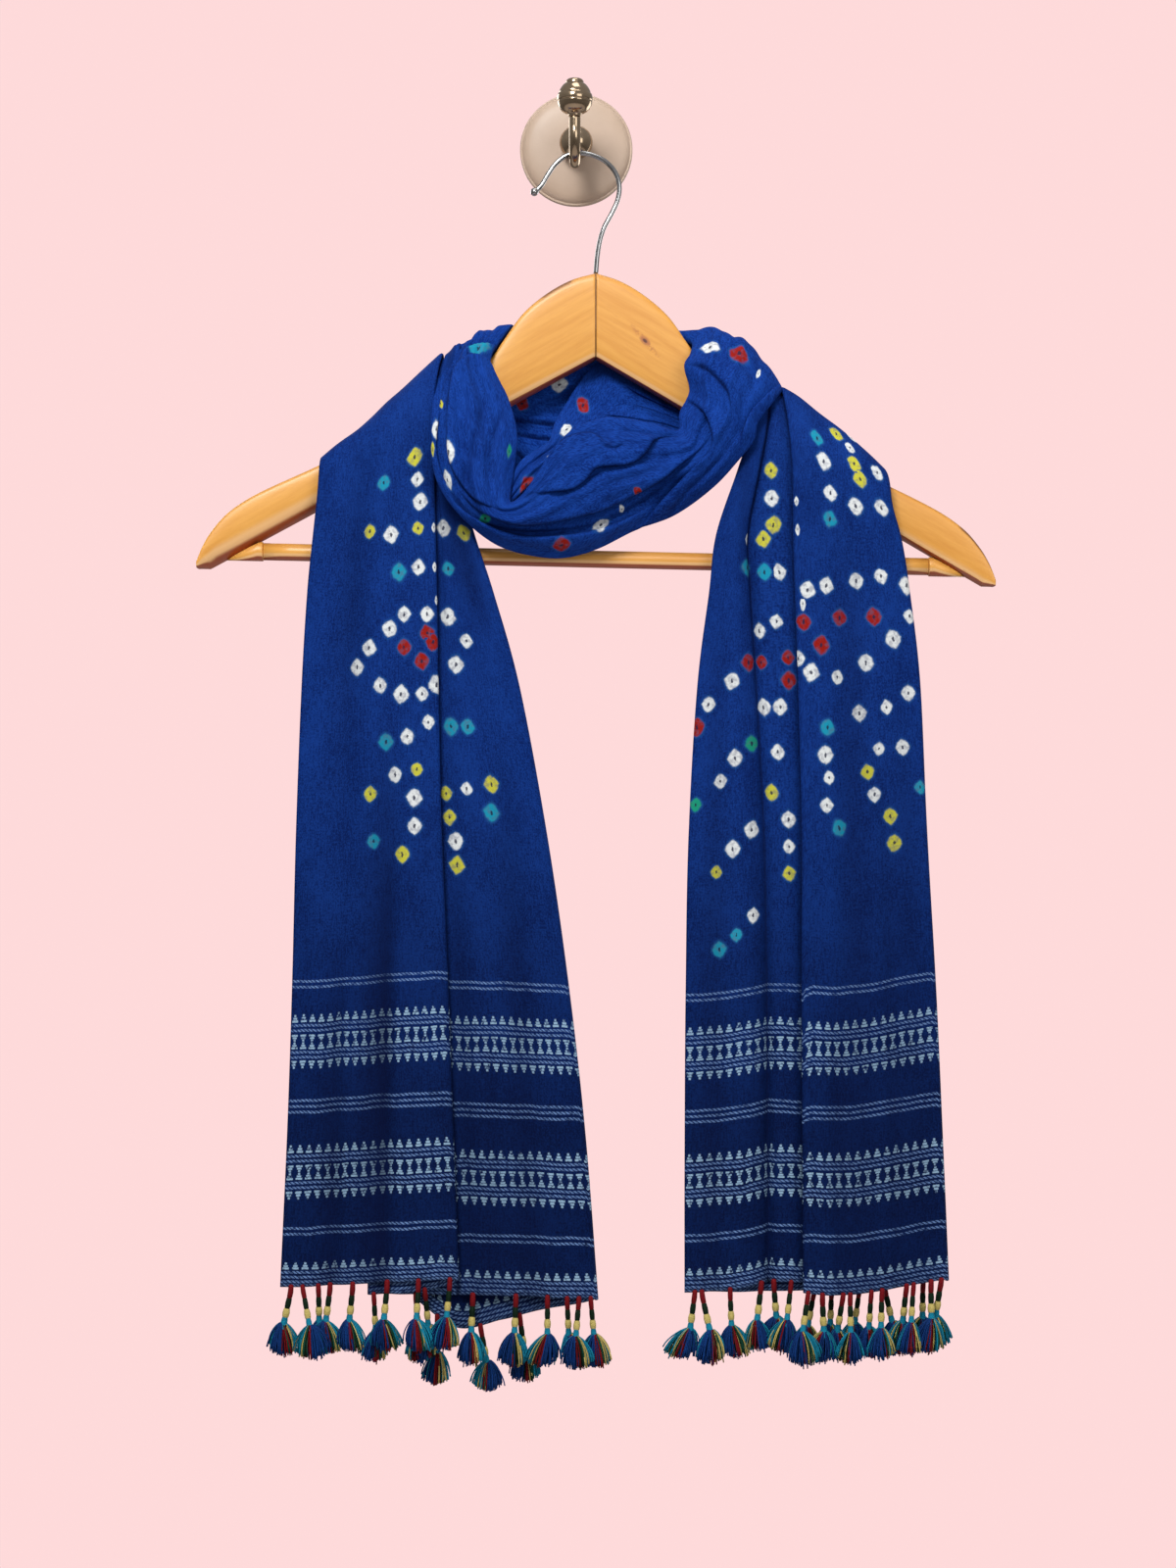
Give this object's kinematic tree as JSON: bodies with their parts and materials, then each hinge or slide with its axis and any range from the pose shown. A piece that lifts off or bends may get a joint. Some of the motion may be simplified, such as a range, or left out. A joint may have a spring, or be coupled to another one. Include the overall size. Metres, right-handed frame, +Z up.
{
  "type": "shawl wound round a wooden hanger on a wall hook",
  "caption": "Tie-dyed blue cotton shawl with woven borders and tassels, wound once round a wooden hanger that hangs on a round wall hook.",
  "frame": {"origin": "centre of the wall plate's flat back face, where the wall holds the whole object", "axes": "+Z up, +X to the viewer's right, +Y into the wall; the cloth's front faces -Y"},
  "size_m": [0.444, 0.0939, 0.7372],
  "materials": {
    "cloth": "matte plain-weave cotton, tie-dyed dots and woven borders",
    "tassel": "cotton threads in blue, red, green, pale yellow and turquoise",
    "wood": "satin varnish, honey beech",
    "wire": "bright plated wire",
    "brass": "polished antique nickel, warm",
    "plate": "frosted, pearly"
  },
  "bodies": {
    "root": {"wall_plate": "plate", "wall_boss": "brass", "wall_hook": "brass", "hook_knob": "brass", "hanger_hook": "wire", "arm_left": "wood", "arm_right": "wood", "trouser_bar": "wood", "bar_socket_left": "wood", "bar_socket_right": "wood", "fall_left": "cloth", "fall_right": "cloth", "fall_right_rear": "cloth", "loop_lobe": "cloth", "loop_swag": "cloth", "loop_knuckle": "cloth", "loop_inner": "cloth", "neck_back_inner": "cloth", "neck_back_outer": "cloth", "tassel_left_01": "tassel", "tassel_left_02": "tassel", "tassel_left_03": "tassel", "tassel_left_04": "tassel", "tassel_left_05": "tassel", "tassel_left_06": "tassel", "tassel_left_07": "tassel", "tassel_left_08": "tassel", "tassel_left_09": "tassel", "tassel_left_10": "tassel", "tassel_left_11": "tassel", "tassel_left_12": "tassel", "tassel_left_13": "tassel", "tassel_left_14": "tassel", "tassel_left_15": "tassel", "tassel_left_16": "tassel", "tassel_left_17": "tassel", "tassel_left_18": "tassel", "tassel_left_19": "tassel", "tassel_left_20": "tassel", "tassel_right_01": "tassel", "tassel_right_02": "tassel", "tassel_right_03": "tassel", "tassel_right_04": "tassel", "tassel_right_05": "tassel", "tassel_right_06": "tassel", "tassel_right_07": "tassel", "tassel_right_08": "tassel", "tassel_right_09": "tassel", "tassel_right_10": "tassel", "tassel_right_11": "tassel", "tassel_right_12": "tassel", "tassel_right_13": "tassel", "tassel_right_14": "tassel", "tassel_right_15": "tassel", "tassel_right_16": "tassel", "tassel_right_17": "tassel", "tassel_right_18": "tassel", "tassel_right_19": "tassel", "tassel_right_20": "tassel", "tassel_right_21": "tassel"}
  },
  "joints": []
}
